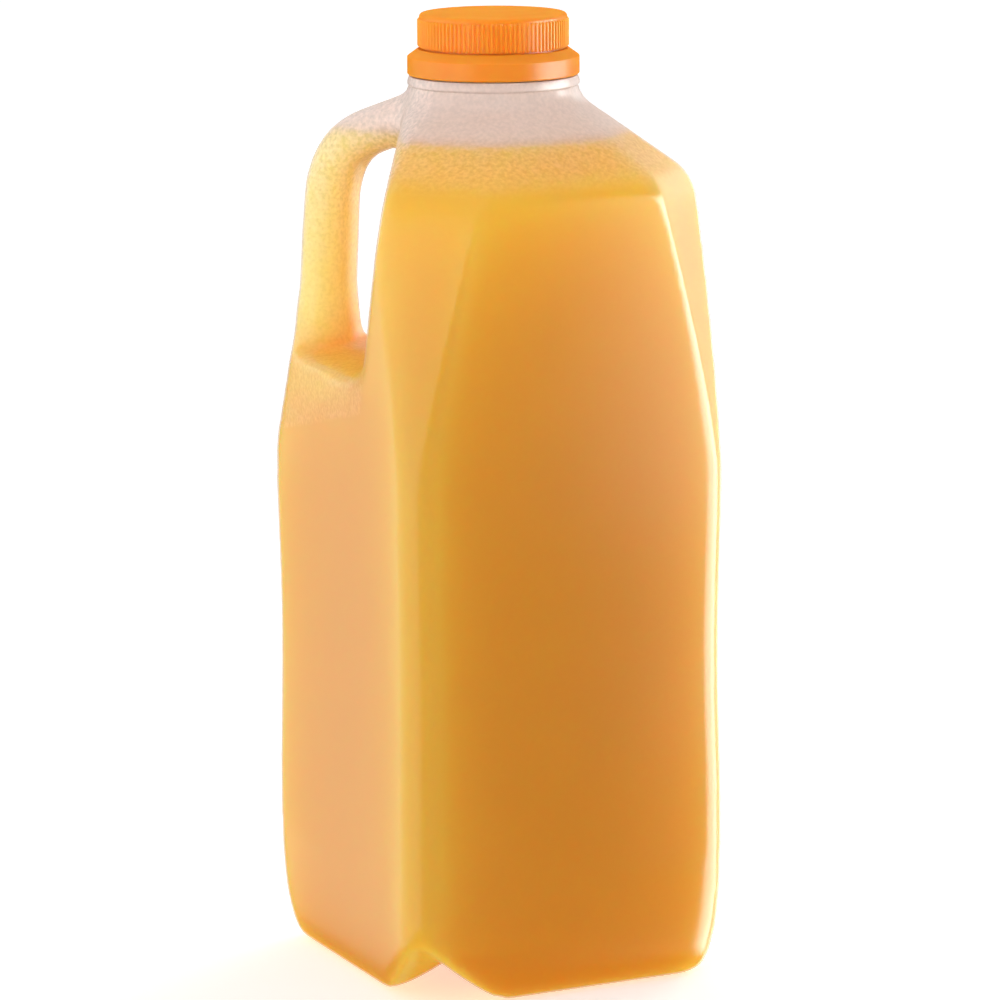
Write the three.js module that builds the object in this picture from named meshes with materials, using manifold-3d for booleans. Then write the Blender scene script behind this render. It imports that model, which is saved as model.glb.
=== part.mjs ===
// Half gallon juice bottle: a square blow moulded jug of natural polyethylene with a hollow
// handle at one corner, filled with orange juice and shut by an orange ribbed screw cap.
// Millimetres, +Z up, origin on the floor under the axis of the neck.
// The handle stands on the -X corner, and the mirror plane is y = 0.

import * as THREE from 'three';
import { mergeVertices } from 'three/addons/utils/BufferGeometryUtils.js';
import Module from 'manifold-3d';

// Body: four flat panels that face diagonally between X and Y, with rounded corners on X and Y
const BODY_SIDE = 97;
const CORNER_RADIUS = 8;
const MIN_HALF_FLAT = 0.4;
const WALL = 0.8;
const FILL_GAP = 0.3;

// Foot: the sides curl in towards the floor, and a channel runs across under the -Y and +Y corners
const FOOT_INSET = 5.4;
const FOOT_HEIGHT = 31;
const CHANNEL_HALF_WIDTH = 14;
const CHANNEL_HEIGHT = 9;
const CHANNEL_POWER = 1.15;
const CHANNEL_PLAIN_Y = 32;
const CHANNEL_END_Y = 72;
const CHANNEL_END_HALF_WIDTH = 44;
const CHANNEL_END_HEIGHT = 26;
const CHANNEL_BELOW = 1;

// Label zone: the sides draw in a little between these heights
const WAIST_LOW = 45;
const WAIST_HIGH = 140;
const WAIST_INSET = 0.6;

// Corner facets: each corner is cut across, ever deeper from here up to the shoulder
const FACET_START = 138;
const FACET_CUT = 11.5;
const FACET_SPAN = 78;
const FACET_POWER = 1.35;

// The handle's own corner is cut steeper, from a kink at this height
const HANDLE_FACET_START = 143;
const HANDLE_FACET_SLOPE = 0.3;

// Shoulder and neck
const SHOULDER_Z = 221.5;
const SHOULDER_FILLET = 5;
const NECK_Z = 243;
const NECK_FILLET = 2.2;
const NECK_RADIUS = 23;
const BEAD_RADIUS = 23.5;
const BEAD_LOW = 245.8;
const BEAD_FULL = 246.3;
const BEAD_HIGH = 247.2;
const NECK_TOP = 248.5;
const FINISH_RADIUS = 18.2;
const FINISH_WALL = 1.4;
const MOUTH_Z = 262.8;

// Handle: a flat oval tube that leaves the neck, bends down and joins the corner of the body
const HANDLE_HALF_DEPTH = 6.5;
const HANDLE_HALF_WIDTH = 11;
const ROOT_WIDENING = 1.5;
const ROOT_DEEPENING = 4;
const FLARE_HIGH = 194;
const FLARE_LOW = 170;
const ARM_START = { x: -17, z: 238.9 };
const BEND_START = { x: -35.5, z: 232 };
const BEND_CORNER = { x: -47, z: 228 };
const BEND_END = { x: -47.8, z: 211 };
const GRIP_END = { x: -49.2, z: 190 };
const ROOT_END = { x: -55, z: 146 };

// Finger gap behind the handle, wider at the sides than at the mirror plane so that a mould lets go
const GAP_SIDE_Y = 60;
const GAP_FILLET = 9;
const GAP_OUTER_X = -80;
const GAP_TOP_Z = 260;
const GAP_MIDDLE = { wallTop: -24, wallFoot: -26.8, floor: 173 };
const GAP_SIDE = { wallTop: -5.8, wallFoot: -20.2, floor: 167 };

// Juice
const FILL_Z = 233;

// Cap with its tamper band, moulded in one piece
const CAP_TOP = 265.5;
const CAP_EDGE = 1.3;
const CAP_SKIRT_RADIUS = 20.2;
const CAP_SKIRT_LOW = 256.3;
const CAP_WALL = 1.2;
const CAP_ROOF = 1.6;
const RIB_COUNT = 100;
const RIB_HEIGHT = 0.5;
const TEAR_GROOVE = 0.5;
const FLANGE_HIGH = 255.8;
const BAND_RADIUS = 23.5;
const BAND_HIGH = 254;
const BAND_LOW = 248.9;
const BAND_WALL = 1.6;

// How finely round stretches are divided
const ARC_STEPS = 3;
const OUTLINE_ARCS = 8;
const FOOT_STEPS = 5;
const SIDE_HEIGHTS = [45, 60, 92, 124, 138, 143, 152, 162, 175, 188, 201];
const CURVE_STEPS = 4;
const CHANNEL_STEPS = 6;
const FLARE_STEPS = 5;
const HANDLE_SECTION_STEPS = 6;
const HANDLE_STEPS = 24;
const CAP_SEGMENTS = 56;
const MERGE_DISTANCE = 1e-4;

const QUARTER = Math.PI / 2;
const wasm = await Module();
wasm.setup();

// A closed three.js geometry as a solid that can be joined and cut
function solid(geometry) {
  const bare = geometry.clone();
  bare.deleteAttribute('normal');
  bare.deleteAttribute('uv');
  const merged = mergeVertices(bare, MERGE_DISTANCE);
  const mesh = new wasm.Mesh({
    numProp: 3,
    vertProperties: new Float32Array(merged.attributes.position.array),
    triVerts: new Uint32Array(merged.index.array),
  });
  return new wasm.Manifold(mesh);
}

// A solid back as a three.js geometry
function geometryOf(body) {
  const mesh = body.getMesh();
  const geometry = new THREE.BufferGeometry();
  geometry.setAttribute('position', new THREE.BufferAttribute(mesh.vertProperties, 3));
  geometry.setIndex(new THREE.BufferAttribute(mesh.triVerts, 1));
  geometry.computeVertexNormals();
  return geometry;
}

// A closed skin through rings of points, each ring running anticlockwise seen from the last ring
function loft(rings) {
  const count = rings[0].length;
  const points = rings.flat();
  const index = [];
  for (let ring = 0; ring + 1 < rings.length; ring += 1) {
    for (let i = 0; i < count; i += 1) {
      const a = ring * count + i;
      const b = ring * count + (i + 1) % count;
      index.push(a, b, b + count, a, b + count, a + count);
    }
  }
  const last = (rings.length - 1) * count;
  for (const first of [0, last]) {
    const middle = new THREE.Vector3();
    for (let i = 0; i < count; i += 1) middle.addScaledVector(points[first + i], 1 / count);
    points.push(middle);
    const centre = points.length - 1;
    for (let i = 0; i < count; i += 1) {
      const here = first + i;
      const next = first + (i + 1) % count;
      const edge = first === 0 ? [next, here] : [here, next];
      index.push(centre, ...edge);
    }
  }
  const geometry = new THREE.BufferGeometry().setFromPoints(points);
  geometry.setIndex(index);
  return geometry;
}

// Square outline with cut and rounded corners; facets are the distances of the corners from the axis
function cornerOutline(panel, facets, radius) {
  const reach = Math.SQRT2 * (panel - radius);
  const points = [];
  for (let corner = 0; corner < 4; corner += 1) {
    const depth = Math.min(facets[corner] - radius, reach - MIN_HALF_FLAT);
    const halfFlat = reach - depth;
    for (const side of [-1, 1]) {
      for (let step = 0; step <= ARC_STEPS; step += 1) {
        const share = side < 0 ? step - ARC_STEPS : step;
        const angle = share / ARC_STEPS * QUARTER / 2;
        const x = depth + radius * Math.cos(angle);
        const y = side * halfFlat + radius * Math.sin(angle);
        points.push(new THREE.Vector2(x, y).rotateAround(new THREE.Vector2(), corner * QUARTER));
      }
    }
  }
  return points;
}

// Circle with as many points as a corner outline, in the same order
function circleOutline(radius) {
  const count = OUTLINE_ARCS * (ARC_STEPS + 1);
  return Array.from({ length: count }, (_, i) => {
    const angle = ((i + 0.5) / count - 1 / OUTLINE_ARCS) * 4 * QUARTER;
    return new THREE.Vector2(radius * Math.cos(angle), radius * Math.sin(angle));
  });
}

function atHeight(outline, z) {
  return outline.map((point) => new THREE.Vector3(point.x, point.y, z));
}

// Outline of the upright sides at a height, drawn in by inset all round
function sideOutline(z, inset) {
  const footShare = Math.max(0, (FOOT_HEIGHT - z) / FOOT_HEIGHT);
  const footInset = FOOT_INSET * (1 - Math.sqrt(1 - footShare * footShare));
  const waistShare = THREE.MathUtils.clamp((z - WAIST_LOW) / (WAIST_HIGH - WAIST_LOW), 0, 1);
  const waistInset = WAIST_INSET * Math.sin(Math.PI * waistShare) ** 2;
  const panel = BODY_SIDE / 2 - footInset - waistInset;
  const round = Math.SQRT2 * (panel - CORNER_RADIUS) + CORNER_RADIUS;
  const rise = Math.max(0, (z - FACET_START) / FACET_SPAN);
  const facet = round - FACET_CUT * rise ** FACET_POWER - inset;
  const handleFacet = round - HANDLE_FACET_SLOPE * Math.max(0, z - HANDLE_FACET_START) - inset;
  return cornerOutline(panel - inset, [facet, facet, handleFacet, facet], CORNER_RADIUS - inset);
}

// The bottle without its handle, finger gap and channel, drawn in by inset all round
// topRings holds the radius and height of each ring above the shoulder
function bodySolid(inset, topRings) {
  const rings = [];
  for (let step = 0; step <= FOOT_STEPS; step += 1) {
    const share = 1 - Math.cos(step / FOOT_STEPS * QUARTER);
    const z = THREE.MathUtils.lerp(inset, FOOT_HEIGHT, share);
    rings.push(atHeight(sideOutline(FOOT_HEIGHT * share, inset), z));
  }
  for (const z of SIDE_HEIGHTS) rings.push(atHeight(sideOutline(z, inset), z));

  // The shoulder runs straight from the cut corners to the round neck, with a fillet at each end
  const neck = NECK_RADIUS - inset;
  const run = BODY_SIDE / 2 - NECK_RADIUS;
  const drop = inset * Math.tan(Math.atan2(NECK_Z - SHOULDER_Z, run) / 2);
  const low = SHOULDER_Z - drop;
  const high = NECK_Z - drop;
  const slope = new THREE.Vector2(run, high - low).normalize();
  const profile = new THREE.Path();
  profile.moveTo(0, low - SHOULDER_FILLET);
  profile.quadraticCurveTo(0, low, slope.x * SHOULDER_FILLET, low + slope.y * SHOULDER_FILLET);
  profile.lineTo(run - slope.x * NECK_FILLET, high - slope.y * NECK_FILLET);
  profile.quadraticCurveTo(run, high, run, high + NECK_FILLET);
  const crease = sideOutline(SHOULDER_Z, inset);
  const circle = circleOutline(neck);
  for (const { x, y } of profile.getPoints(CURVE_STEPS)) {
    const edge = y < low ? sideOutline(y, inset) : crease;
    const outline = edge.map((point, i) => point.clone().lerp(circle[i], x / run));
    rings.push(atHeight(outline, y));
  }
  for (const [radius, z] of topRings) rings.push(atHeight(circleOutline(radius), z));
  return solid(loft(rings));
}

// Channel under the base, from the -Y corner to the +Y corner, opening out at both ends
function channelSolid(growth) {
  const outline = (y) => {
    const share = Math.max(0, (Math.abs(y) - CHANNEL_PLAIN_Y) / (CHANNEL_END_Y - CHANNEL_PLAIN_Y));
    const flare = share * share;
    const half = growth + THREE.MathUtils.lerp(CHANNEL_HALF_WIDTH, CHANNEL_END_HALF_WIDTH, flare);
    const height = growth + THREE.MathUtils.lerp(CHANNEL_HEIGHT, CHANNEL_END_HEIGHT, flare);
    const ring = [new THREE.Vector3(-half, y, -CHANNEL_BELOW)];
    for (let step = -CHANNEL_STEPS; step <= CHANNEL_STEPS; step += 1) {
      const across = step / CHANNEL_STEPS;
      const z = height * (1 - Math.abs(across)) ** CHANNEL_POWER;
      ring.push(new THREE.Vector3(half * across, y, z));
    }
    ring.push(new THREE.Vector3(half, y, -CHANNEL_BELOW));
    return ring;
  };
  const flared = Array.from({ length: FLARE_STEPS + 1 }, (_, i) => (
    THREE.MathUtils.lerp(CHANNEL_PLAIN_Y, CHANNEL_END_Y, i / FLARE_STEPS)
  ));
  const places = [...flared.map((y) => -y).reverse(), ...flared];
  return solid(loft(places.map(outline)));
}

// What is cut from the -X corner to make room for fingers, drawn out by growth all round
function gapSolid(growth) {
  const outline = (gap, y) => {
    const wallTop = gap.wallTop + growth;
    const wallFoot = gap.wallFoot + growth;
    const floor = gap.floor - growth;
    const lean = (wallTop - wallFoot) / (GAP_TOP_Z - floor);
    const path = new THREE.Path();
    path.moveTo(wallTop, GAP_TOP_Z);
    path.lineTo(wallFoot + lean * GAP_FILLET, floor + GAP_FILLET);
    path.quadraticCurveTo(wallFoot, floor, wallFoot - GAP_FILLET, floor);
    path.lineTo(GAP_OUTER_X, floor);
    path.lineTo(GAP_OUTER_X, GAP_TOP_Z);
    return path.getPoints(CURVE_STEPS).map((point) => new THREE.Vector3(point.x, y, point.y));
  };
  const near = outline(GAP_SIDE, -GAP_SIDE_Y);
  const middle = outline(GAP_MIDDLE, 0);
  const far = outline(GAP_SIDE, GAP_SIDE_Y);
  return solid(loft([near, middle, far]));
}

// Handle tube along its path, drawn in by inset
function handleSolid(inset) {
  const path = new THREE.Path();
  path.moveTo(ARM_START.x, ARM_START.z);
  path.lineTo(BEND_START.x, BEND_START.z);
  path.quadraticCurveTo(BEND_CORNER.x, BEND_CORNER.z, BEND_END.x, BEND_END.z);
  path.lineTo(GRIP_END.x, GRIP_END.z);
  path.lineTo(ROOT_END.x, ROOT_END.z);
  const rings = [];
  for (let step = 0; step <= HANDLE_STEPS; step += 1) {
    const middle = path.getPointAt(step / HANDLE_STEPS);
    const along = path.getTangentAt(step / HANDLE_STEPS);

    // Deeper and wider towards the root, but never out past the side panels
    const flare = 1 - THREE.MathUtils.smoothstep(middle.y, FLARE_LOW, FLARE_HIGH);
    const halfDepth = HANDLE_HALF_DEPTH + ROOT_DEEPENING / 2 * flare;
    const centre = new THREE.Vector2(middle.x + ROOT_DEEPENING / 2 * flare, middle.y);
    const halfWidth = HANDLE_HALF_WIDTH + ROOT_WIDENING * flare;
    const room = Math.SQRT2 * (BODY_SIDE / 2 - halfDepth) + centre.x;
    const straight = Math.min(halfWidth - halfDepth, room);
    const radius = halfDepth - inset;
    const ring = [];
    for (const side of [-1, 1]) {
      for (let turn = 0; turn <= HANDLE_SECTION_STEPS; turn += 1) {
        const angle = side * QUARTER + (turn / HANDLE_SECTION_STEPS - 0.5) * 2 * QUARTER;
        const across = radius * Math.cos(angle);
        const y = side * straight + radius * Math.sin(angle);
        ring.push(new THREE.Vector3(centre.x + along.y * across, y, centre.y - along.x * across));
      }
    }
    rings.push(ring);
  }
  return solid(loft(rings));
}

// Everything inside a skin: inset 0 is the outside of the bottle, WALL its inside
function bottleSpace(inset, topRings) {
  return bodySolid(inset, topRings)
    .subtract(gapSolid(inset))
    .add(handleSolid(inset))
    .subtract(channelSolid(inset));
}

function makeBottle() {
  const outside = bottleSpace(0, [
    [NECK_RADIUS, BEAD_LOW],
    [BEAD_RADIUS, BEAD_FULL],
    [BEAD_RADIUS, BEAD_HIGH],
    [NECK_RADIUS, NECK_TOP],
    [FINISH_RADIUS, NECK_TOP],
    [FINISH_RADIUS, MOUTH_Z],
  ]);
  const bore = FINISH_RADIUS - FINISH_WALL;
  const inside = bottleSpace(WALL, [
    [NECK_RADIUS - WALL, NECK_TOP - WALL],
    [bore, NECK_TOP - WALL],
    [bore, MOUTH_Z + WALL],
  ]);
  return geometryOf(outside.subtract(inside));
}

function makeJuice() {
  const inset = WALL + FILL_GAP;
  const space = bottleSpace(inset, [[NECK_RADIUS - inset, NECK_TOP]]);
  const size = 2 * BODY_SIDE;
  const above = new THREE.BoxGeometry(size, size, size);
  above.translate(0, 0, FILL_Z + size / 2);
  return geometryOf(space.subtract(solid(above)));
}

function makeCap() {
  const inner = CAP_SKIRT_RADIUS - CAP_WALL;
  const profile = new THREE.Path();
  profile.moveTo(0, CAP_TOP - CAP_ROOF);
  profile.lineTo(inner, CAP_TOP - CAP_ROOF);
  profile.lineTo(inner, CAP_SKIRT_LOW);
  profile.lineTo(BAND_RADIUS - BAND_WALL, BAND_HIGH);
  profile.lineTo(BAND_RADIUS - BAND_WALL, BAND_LOW);
  profile.lineTo(BAND_RADIUS, BAND_LOW);
  profile.lineTo(BAND_RADIUS, BAND_HIGH);
  profile.lineTo(CAP_SKIRT_RADIUS + RIB_HEIGHT, FLANGE_HIGH);
  profile.lineTo(CAP_SKIRT_RADIUS - TEAR_GROOVE, FLANGE_HIGH);
  profile.lineTo(CAP_SKIRT_RADIUS - TEAR_GROOVE, CAP_SKIRT_LOW);
  profile.lineTo(CAP_SKIRT_RADIUS, CAP_SKIRT_LOW);
  profile.lineTo(CAP_SKIRT_RADIUS, CAP_TOP - CAP_EDGE);
  profile.quadraticCurveTo(CAP_SKIRT_RADIUS, CAP_TOP, CAP_SKIRT_RADIUS - CAP_EDGE, CAP_TOP);
  profile.lineTo(0, CAP_TOP);
  const lathe = new THREE.LatheGeometry(profile.getPoints(CURVE_STEPS), CAP_SEGMENTS);
  lathe.rotateX(QUARTER);

  // Grip ribs: a ring with a zigzag outside
  const ribs = new THREE.Shape();
  for (let i = 0; i < 2 * RIB_COUNT; i += 1) {
    const radius = CAP_SKIRT_RADIUS + (i % 2 === 0 ? RIB_HEIGHT : 0);
    const angle = i * 2 * QUARTER / RIB_COUNT;
    const point = [radius * Math.cos(angle), radius * Math.sin(angle)];
    if (i === 0) ribs.moveTo(...point);
    else ribs.lineTo(...point);
  }
  const bore = new THREE.Path();
  bore.absarc(0, 0, CAP_SKIRT_RADIUS - CAP_WALL / 2, 0, 4 * QUARTER, true);
  ribs.holes.push(bore);
  const height = CAP_TOP - CAP_EDGE - CAP_SKIRT_LOW;
  const ring = new THREE.ExtrudeGeometry(ribs, { depth: height, bevelEnabled: false });
  ring.translate(0, 0, CAP_SKIRT_LOW);
  return geometryOf(solid(lathe).add(solid(ring)));
}

function addPiece(group, name, geometry, look) {
  const mesh = new THREE.Mesh(geometry, new THREE.MeshStandardMaterial(look));
  mesh.name = name;
  group.add(mesh);
}

const bottle = new THREE.Group();
addPiece(bottle, 'bottle', makeBottle(), {
  color: 0xf6e8dc, roughness: 0.35, metalness: 0, transparent: true, opacity: 0.35,
});
addPiece(bottle, 'juice', makeJuice(), { color: 0xeda324, roughness: 0.3, metalness: 0 });
addPiece(bottle, 'cap', makeCap(), { color: 0xf98a34, roughness: 0.4, metalness: 0 });

export default bottle;
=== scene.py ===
"""Looks of a half gallon juice bottle: a blow moulded jug, the juice in it and its screw cap.

Metres, +Z up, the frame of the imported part: the handle stands on the -X corner and the mirror
plane is y = 0. Sizes in the classes below are millimetres, as on a drawing, and MM turns them
into metres where a mesh is made.
"""

from __future__ import annotations

import logging
import math
from collections.abc import Callable, Iterator
from contextlib import contextmanager
from dataclasses import dataclass
from enum import Enum
from typing import Any

import bmesh
import bpy
from mathutils import Matrix, Vector
from mathutils.bvhtree import BVHTree

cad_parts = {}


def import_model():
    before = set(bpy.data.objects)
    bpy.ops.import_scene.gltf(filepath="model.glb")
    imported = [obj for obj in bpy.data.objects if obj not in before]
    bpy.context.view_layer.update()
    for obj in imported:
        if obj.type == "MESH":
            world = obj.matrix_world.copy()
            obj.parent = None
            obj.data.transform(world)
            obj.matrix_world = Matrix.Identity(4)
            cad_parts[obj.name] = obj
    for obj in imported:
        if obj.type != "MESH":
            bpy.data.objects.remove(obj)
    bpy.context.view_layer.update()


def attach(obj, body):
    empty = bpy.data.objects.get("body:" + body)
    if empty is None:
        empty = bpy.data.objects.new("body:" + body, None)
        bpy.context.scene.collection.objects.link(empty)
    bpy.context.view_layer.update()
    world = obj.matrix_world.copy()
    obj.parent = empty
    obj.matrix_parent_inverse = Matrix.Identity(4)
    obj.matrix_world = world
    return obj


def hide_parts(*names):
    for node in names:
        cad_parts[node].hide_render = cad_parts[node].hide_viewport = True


LOG = logging.getLogger("juice_bottle")
MM = 0.001
PLACE = "place"
GLOW = "glow"
ROOT_BODY = "root"
QUARTER = math.pi / 2
HALF_WAY = 0.5  # one smoothing moves a point this far towards its neighbours' middle
TOUCH = 0.01  # points closer than this, in millimetres, are at the same height

Ring = list[Vector]
Span = tuple[float, float]
Tree = bpy.types.NodeTree
Socket = bpy.types.NodeSocket
Piece = bpy.types.Object


class Joining(Enum):
    """How one solid is worked into another."""

    UNION = "UNION"
    DIFFERENCE = "DIFFERENCE"


class Role(Enum):
    """What a studio light is there for: to be mirrored, or to light."""

    SHINE = "shine"
    FILL = "fill"


def linear(colour: str) -> tuple[float, float, float, float]:
    """Turns an sRGB hex colour into linear light.

    Args:
        colour: six hex digits after a hash sign.

    Returns:
        Red, green, blue and an alpha of one.
    """
    shares = [int(colour[i : i + 2], 16) / 255 for i in (1, 3, 5)]
    light = [s / 12.92 if s <= 0.04045 else ((s + 0.055) / 1.055) ** 2.4 for s in shares]
    return (light[0], light[1], light[2], 1.0)


def smooth_step(low: float, high: float, value: float) -> float:
    """Rises from 0 at low to 1 at high with level ends."""
    share = min(max((value - low) / (high - low), 0.0), 1.0)
    return share * share * (3 - 2 * share)


def add_node(
    tree: Tree,
    kind: str,
    settings: dict[str, Any] | None = None,
    inputs: dict[str | int, Any] | None = None,
) -> bpy.types.Node:
    """Adds a shader node with its settings, its values and its links.

    Args:
        tree: the material's or world's tree.
        kind: the node's type.
        settings: attributes of the node itself.
        inputs: a value, or the socket to link, for each input by name or number.

    Returns:
        The new node.
    """
    node = tree.nodes.new(kind)
    for name, value in (settings or {}).items():
        setattr(node, name, value)
    for name, value in (inputs or {}).items():
        if isinstance(value, Socket):
            tree.links.new(value, node.inputs[name])
        else:
            node.inputs[name].default_value = value
    return node


def metres(span_mm: Span) -> Span:
    """Turns a span in millimetres into metres."""
    return (span_mm[0] * MM, span_mm[1] * MM)


def ramp(
    tree: Tree, value: Socket, span: Span, ends: Span = (0.0, 1.0), smooth: bool = False
) -> Socket:
    """Runs from one end to the other while a value goes over a span.

    Args:
        tree: the material's or world's tree.
        value: what is looked at.
        span: where the run starts and where it is over.
        ends: what it gives before and after.
        smooth: level at both ends instead of straight.

    Returns:
        The result.
    """
    return add_node(
        tree,
        "ShaderNodeMapRange",
        {"interpolation_type": "SMOOTHSTEP" if smooth else "LINEAR"},
        {
            "Value": value,
            "From Min": span[0],
            "From Max": span[1],
            "To Min": ends[0],
            "To Max": ends[1],
        },
    ).outputs[0]


def reckon(tree: Tree, operation: str, *terms: float | Socket) -> Socket:
    """Reckons with numbers and sockets.

    Args:
        tree: the material's or world's tree.
        operation: what is done with the terms.
        terms: two or three of them, in order.

    Returns:
        The result.
    """
    return add_node(
        tree, "ShaderNodeMath", {"operation": operation}, dict(enumerate(terms))
    ).outputs[0]


def blend(tree: Tree, share: Socket, first: Any, second: Any, kind: str = "FLOAT") -> Socket:
    """Mixes two numbers, vectors or colours.

    Args:
        tree: the material's or world's tree.
        share: how much of the second.
        first: a value or socket.
        second: a value or socket.
        kind: FLOAT, VECTOR or RGBA.

    Returns:
        The mixture.
    """
    return add_node(
        tree,
        "ShaderNodeMix",
        {"data_type": kind},
        {"Factor": share, "A": first, "B": second},
    ).outputs["Result"]


def blend_shaders(tree: Tree, share: Socket, first: Socket, second: Socket) -> Socket:
    """Mixes two shaders.

    Args:
        tree: the material's tree.
        share: how much of the second.
        first: a shader.
        second: a shader.

    Returns:
        The mixed shader.
    """
    inputs = {0: share, 1: first, 2: second}
    return add_node(tree, "ShaderNodeMixShader", inputs=inputs).outputs[0]


def noise(tree: Tree, place: Socket, size_mm: float, detail: float) -> Socket:
    """Makes clouds or grain.

    Args:
        tree: the material's tree.
        place: where on the piece, in metres.
        size_mm: size of one cloud or grain.
        detail: how many finer layers it has.

    Returns:
        Its height, about 0.5 in the middle.
    """
    inputs = {"Vector": place, "Scale": 1 / (size_mm * MM), "Detail": detail}
    return add_node(tree, "ShaderNodeTexNoise", inputs=inputs).outputs["Fac"]


def bumped(tree: Tree, height: Socket, strength: float | Socket, depth_mm: float) -> Socket:
    """Turns a height into small tilts of the surface.

    Args:
        tree: the material's tree.
        height: 0 in the hollows, 1 on the tops.
        strength: how much of it shows.
        depth_mm: how far the tops stand out.

    Returns:
        The tilted normal.
    """
    inputs = {"Height": height, "Strength": strength, "Distance": depth_mm * MM}
    return add_node(tree, "ShaderNodeBump", inputs=inputs).outputs["Normal"]


def satin(
    tree: Tree, normal: Socket, roughness: float, ior: float, most: float
) -> tuple[Socket, Socket]:
    """Makes a soft sheen that stays faint at a slant, as on matt moulded plastic.

    Args:
        tree: the material's tree.
        normal: the surface's normal.
        roughness: how soft the sheen is.
        ior: the plastic's refractive index.
        most: the greatest share of light that it mirrors.

    Returns:
        Its share of the light and its shader.
    """
    gloss = add_node(
        tree,
        "ShaderNodeBsdfGlossy",
        {"distribution": "BECKMANN"},
        {"Roughness": roughness, "Normal": normal},
    )
    fresnel = add_node(tree, "ShaderNodeFresnel", inputs={"IOR": ior, "Normal": normal})
    return reckon(tree, "MINIMUM", fresnel.outputs[0], most), gloss.outputs[0]


def new_material(name: str) -> tuple[bpy.types.Material, Tree]:
    """Makes an empty node material.

    Args:
        name: the real material's name.

    Returns:
        The material and its cleared node tree.
    """
    material = bpy.data.materials.new(name)
    material.use_nodes = True
    material.node_tree.nodes.clear()
    return material, material.node_tree


def select_nothing() -> None:
    """Takes the selection off every object."""
    bpy.ops.object.select_all(action="DESELECT")


def select_only(obj: Piece) -> None:
    """Selects one object alone and makes it the active one."""
    select_nothing()
    bpy.context.view_layer.objects.active = obj
    obj.select_set(True)


@contextmanager
def editing(obj: Piece) -> Iterator[None]:
    """Holds one object alone in edit mode.

    Args:
        obj: the mesh object to edit.
    """
    select_only(obj)
    bpy.ops.object.mode_set(mode="EDIT")
    yield
    bpy.ops.object.mode_set(mode="OBJECT")


def apply_modifier(obj: Piece, kind: str, **settings: Any) -> None:
    """Adds a modifier with its settings and applies it.

    Args:
        obj: the object that it works on.
        kind: the modifier's type.
        settings: the modifier's own values.
    """
    select_only(obj)
    modifier = obj.modifiers.new(kind.title(), kind)
    for name, value in settings.items():
        setattr(modifier, name, value)
    bpy.ops.object.modifier_apply(modifier=modifier.name)


def combine(obj: Piece, other: Piece, how: Joining) -> None:
    """Joins another solid to obj or cuts it away, and removes that other solid.

    Args:
        obj: the solid that stays.
        other: the solid that is used up.
        how: join or cut.
    """
    apply_modifier(obj, "BOOLEAN", operation=how.value, solver="EXACT", object=other)
    bpy.data.objects.remove(other)


def lay_ring(obj: Piece, ring: Ring) -> None:
    """Lays the selected ring of points on an outline that no transform operator gives.

    Args:
        obj: the object in edit mode.
        ring: the outline's points in millimetres, in the order of the first ring.
    """
    mesh = bmesh.from_edit_mesh(obj.data)
    place = mesh.verts.layers.int[PLACE]
    for vert in mesh.verts:
        if vert.select:
            vert.co = ring[vert[place]] * MM
    bmesh.update_edit_mesh(obj.data)


def number_points(obj: Piece) -> None:
    """Numbers the points of a new circle, so that every ring drawn out of it keeps the order."""
    layer = obj.data.attributes.new(PLACE, "INT", "POINT")
    layer.data.foreach_set("value", range(len(obj.data.vertices)))


def new_circle(name: str, count: int, fill: str) -> Piece:
    """Adds a circle with numbered points, ready to be drawn out.

    Args:
        name: the object's name.
        count: how many points.
        fill: NGON for a disc, NOTHING for an open ring.

    Returns:
        The new object.
    """
    select_nothing()
    bpy.ops.mesh.primitive_circle_add(vertices=count, radius=MM, fill_type=fill)
    obj = bpy.context.object
    obj.name = name
    obj.data.name = name
    number_points(obj)
    return obj


def drawn_out(name: str, rings: list[Ring]) -> Piece:
    """Extrudes a disc from ring to ring into a closed solid.

    Args:
        name: the object's name.
        rings: outlines with equal numbers of points, in millimetres.

    Returns:
        The solid, with its faces pointing out.
    """
    obj = new_circle(name, len(rings[0]), "NGON")
    with editing(obj):
        lay_ring(obj, rings[0])
        for ring in rings[1:]:
            bpy.ops.mesh.extrude_region_move()
            lay_ring(obj, ring)
        bpy.ops.mesh.select_all(action="SELECT")
        bpy.ops.mesh.normals_make_consistent(inside=False)
    obj.data.attributes.remove(obj.data.attributes[PLACE])
    return obj


def turned(name: str, profile: list[Span], count: int) -> Piece:
    """Draws an open circle out along a turned profile.

    Args:
        name: the object's name.
        profile: radius and height of each ring, in millimetres.
        count: points round the circle.

    Returns:
        The open skin, with its points still numbered.
    """
    obj = new_circle(name, count, "NOTHING")
    turn = 4 * QUARTER / count
    spokes = [Vector((math.cos(i * turn), math.sin(i * turn), 0)) for i in range(count)]
    with editing(obj):
        for step, (radius, z) in enumerate(profile):
            if step > 0:
                bpy.ops.mesh.extrude_edges_move()
            lay_ring(obj, [spoke * radius + Vector((0, 0, z)) for spoke in spokes])
    return obj


def dress(obj: Piece, node: str, material: bpy.types.Material) -> None:
    """Gives a finished piece its material and its place in the part.

    Args:
        obj: the piece.
        node: the CAD node that it stands for.
        material: what it is made of.
    """
    obj.data.materials.clear()
    obj.data.materials.append(material)
    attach(obj, ROOT_BODY)
    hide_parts(node)
    LOG.info("%s: %d faces of %s", obj.name, len(obj.data.polygons), material.name)


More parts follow.
